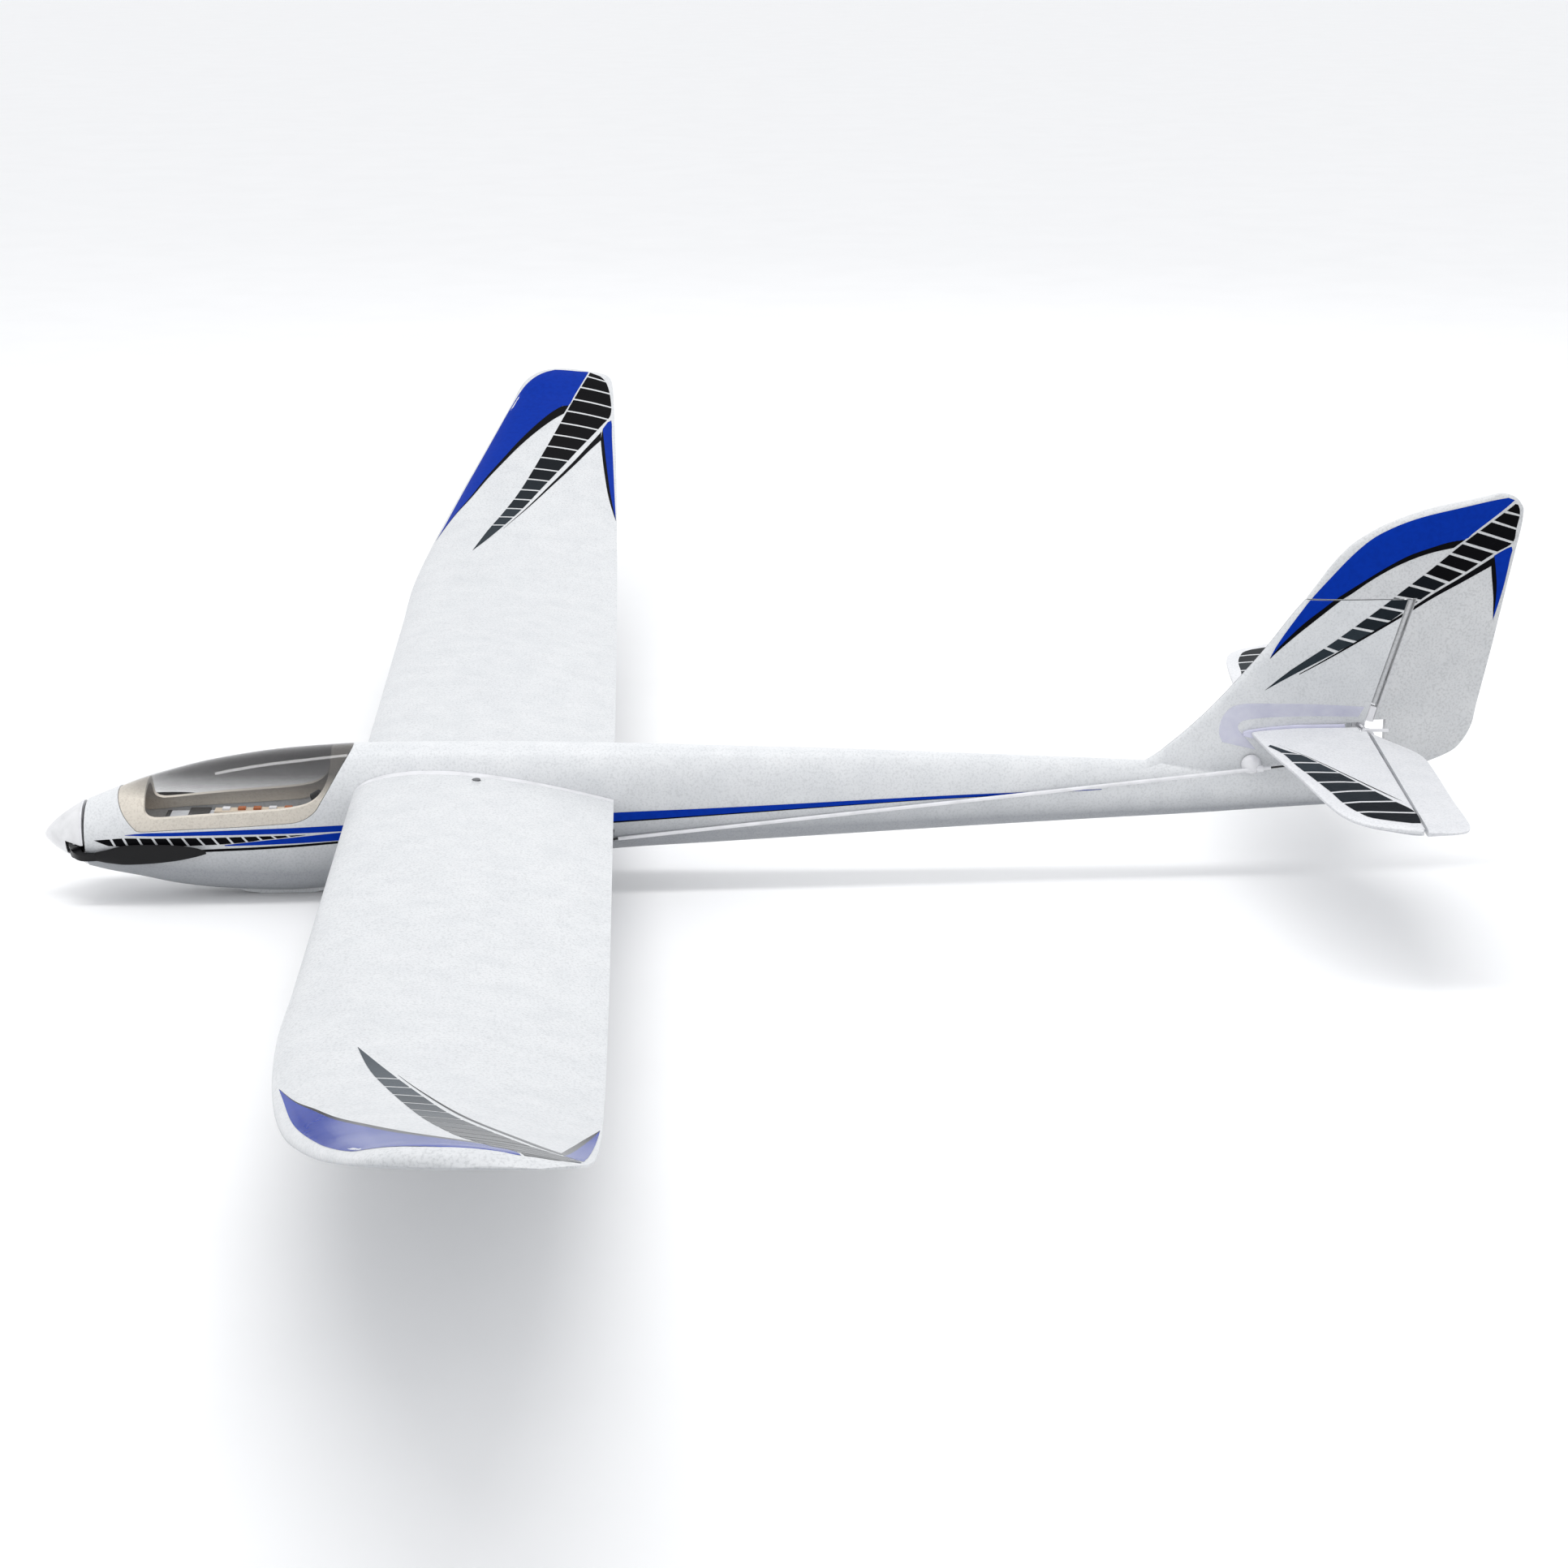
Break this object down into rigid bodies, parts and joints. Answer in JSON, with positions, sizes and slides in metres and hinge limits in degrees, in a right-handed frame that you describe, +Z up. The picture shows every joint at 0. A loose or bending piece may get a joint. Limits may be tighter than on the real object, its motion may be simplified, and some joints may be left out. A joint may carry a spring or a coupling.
{
  "type": "rc glider",
  "caption": "Powered foam radio-controlled glider with upswept wing tips, clear canopy, folding propeller, and hinged rudder and elevators driven by side pushrods.",
  "frame": {"origin": "below the middle of the whole model, on the level of the belly skid's flat underside", "axes": "+X towards the tail, +Y towards the starboard wing tip, +Z up"},
  "size_m": [1.1428, 1.99, 0.3068],
  "materials": {
    "foam_white": "moulded bead foam, painted white with blue and black trim",
    "foam_cream": "bare moulded foam",
    "plastic_white": "moulded white plastic",
    "smoke_clear": "thin clear plastic, smoke tinted",
    "plastic_black": "moulded black plastic",
    "metal": "bare metal",
    "carbon": "carbon tube and black wire",
    "battery_wrap": "heat-shrink wrap",
    "webbing_black": "woven webbing",
    "led_circuit": "flexible circuit"
  },
  "bodies": {
    "airframe": {"fuselage_left": "foam_white", "fuselage_right": "foam_white", "belly_skid": "plastic_white", "motor_mount": "plastic_white", "motor_stator": "metal", "motor_screws": "metal", "esc": "plastic_black", "battery_tray": "plastic_white", "battery": "battery_wrap", "battery_strap": "webbing_black", "receiver": "plastic_black", "led_controller": "plastic_black", "led_strip": "led_circuit", "servo_tray": "plastic_white", "rudder_servo": "plastic_black", "elevator_servo": "plastic_black", "servo_screws": "metal", "wing_tube": "carbon", "wing_left": "foam_white", "wing_right": "foam_white", "wing_rib_left": "plastic_white", "wing_rib_right": "plastic_white", "wing_screws": "metal", "wing_led_left": "led_circuit", "wing_led_right": "led_circuit", "stab_left": "foam_white", "stab_right": "foam_white", "stab_tube": "carbon", "stab_fairing_left": "plastic_white", "stab_fairing_right": "plastic_white", "fin_led": "led_circuit", "hinge_barrel": "plastic_white", "rudder_hinges": "plastic_white", "elevator_hinges": "plastic_white", "rudder_tube": "plastic_white", "elevator_tube": "plastic_white", "tube_guides": "plastic_white"},
    "propeller": {"spinner": "plastic_white", "spinner_backplate": "plastic_white", "blade_yoke": "plastic_black", "prop_shaft": "metal", "motor_bell": "metal", "spinner_screw": "metal", "blade_pins": "metal"},
    "left_blade": {"blade_left": "plastic_black"},
    "right_blade": {"blade_right": "plastic_black"},
    "rudder_body": {"rudder": "foam_white", "rudder_horn": "plastic_white"},
    "left_elevator": {"elevator_left": "foam_white", "elevator_root_left": "plastic_white"},
    "right_elevator": {"elevator_right": "foam_white", "elevator_root_right": "plastic_white", "elevator_joiner": "metal"},
    "rudder_rod": {"rudder_pushrod": "carbon"},
    "elevator_rod": {"elevator_pushrod": "carbon"},
    "rudder_arm": {"rudder_servo_arm": "plastic_white"},
    "elevator_arm": {"elevator_servo_arm": "plastic_white"},
    "canopy": {"canopy_frame": "foam_cream", "canopy_glazing": "smoke_clear"}
  },
  "joints": [
    {"name": "prop_spin", "type": "hinge", "parent": "airframe", "child": "propeller", "pos_m": [-0.54552, 0, 0.05073], "axis": [0.999, 0, 0.0436], "range_deg": [0, 360]},
    {"name": "left_blade_fold", "type": "hinge", "parent": "propeller", "child": "left_blade", "pos_m": [-0.54519, -0.01901, 0.04306], "axis": [0.0404, 0.3746, -0.9263], "range_deg": [0, 84]},
    {"name": "right_blade_fold", "type": "hinge", "parent": "propeller", "child": "right_blade", "pos_m": [-0.54586, 0.01901, 0.05841], "axis": [-0.0404, -0.3746, 0.9263], "range_deg": [0, 84]},
    {"name": "rudder_hinge", "type": "hinge", "parent": "airframe", "child": "rudder_body", "pos_m": [0.4638, 0, 0.1366], "axis": [0.2723, 0, 0.9622], "range_deg": [-30, 30]},
    {"name": "right_elevator_hinge", "type": "hinge", "parent": "airframe", "child": "right_elevator", "pos_m": [0.45721, 0.019, 0.119], "axis": [-0.0678, 0.9977, 0], "range_deg": [-25, 25]},
    {"name": "left_elevator_hinge", "type": "hinge", "parent": "airframe", "child": "left_elevator", "pos_m": [0.45721, -0.019, 0.119], "axis": [-0.0678, -0.9977, 0], "range_deg": [-25, 25]},
    {"name": "rudder_rod_slide", "type": "slide", "parent": "airframe", "child": "rudder_rod", "axis": [0.9956, 0.0154, 0.0924], "range_m": [-0.0095, 0.0095]},
    {"name": "elevator_rod_slide", "type": "slide", "parent": "airframe", "child": "elevator_rod", "axis": [0.9956, -0.0154, 0.0924], "range_m": [-0.0095, 0.0095]},
    {"name": "rudder_servo_turn", "type": "hinge", "parent": "airframe", "child": "rudder_arm", "pos_m": [-0.1715, -0.017, 0.062], "axis": [0, 1, 0], "range_deg": [-45, 45]},
    {"name": "elevator_servo_turn", "type": "hinge", "parent": "airframe", "child": "elevator_arm", "pos_m": [-0.2055, 0.017, 0.062], "axis": [0, 1, 0], "range_deg": [-45, 45]},
    {"name": "canopy_lift", "type": "slide", "parent": "airframe", "child": "canopy", "axis": [0, 0, 1], "range_m": [0, 0.09]}
  ],
  "couplings": [
    {"joint": "left_blade_fold", "follows": "prop_spin", "ratio": 0.23333},
    {"joint": "right_blade_fold", "follows": "prop_spin", "ratio": 0.23333},
    {"joint": "rudder_rod_slide", "follows": "rudder_hinge", "m_per_rad": 0.01562},
    {"joint": "rudder_servo_turn", "follows": "rudder_hinge", "ratio": -1.3017},
    {"joint": "left_elevator_hinge", "follows": "right_elevator_hinge", "ratio": -1},
    {"joint": "elevator_rod_slide", "follows": "right_elevator_hinge", "m_per_rad": -0.019371},
    {"joint": "elevator_servo_turn", "follows": "right_elevator_hinge", "ratio": 1.6143}
  ]
}
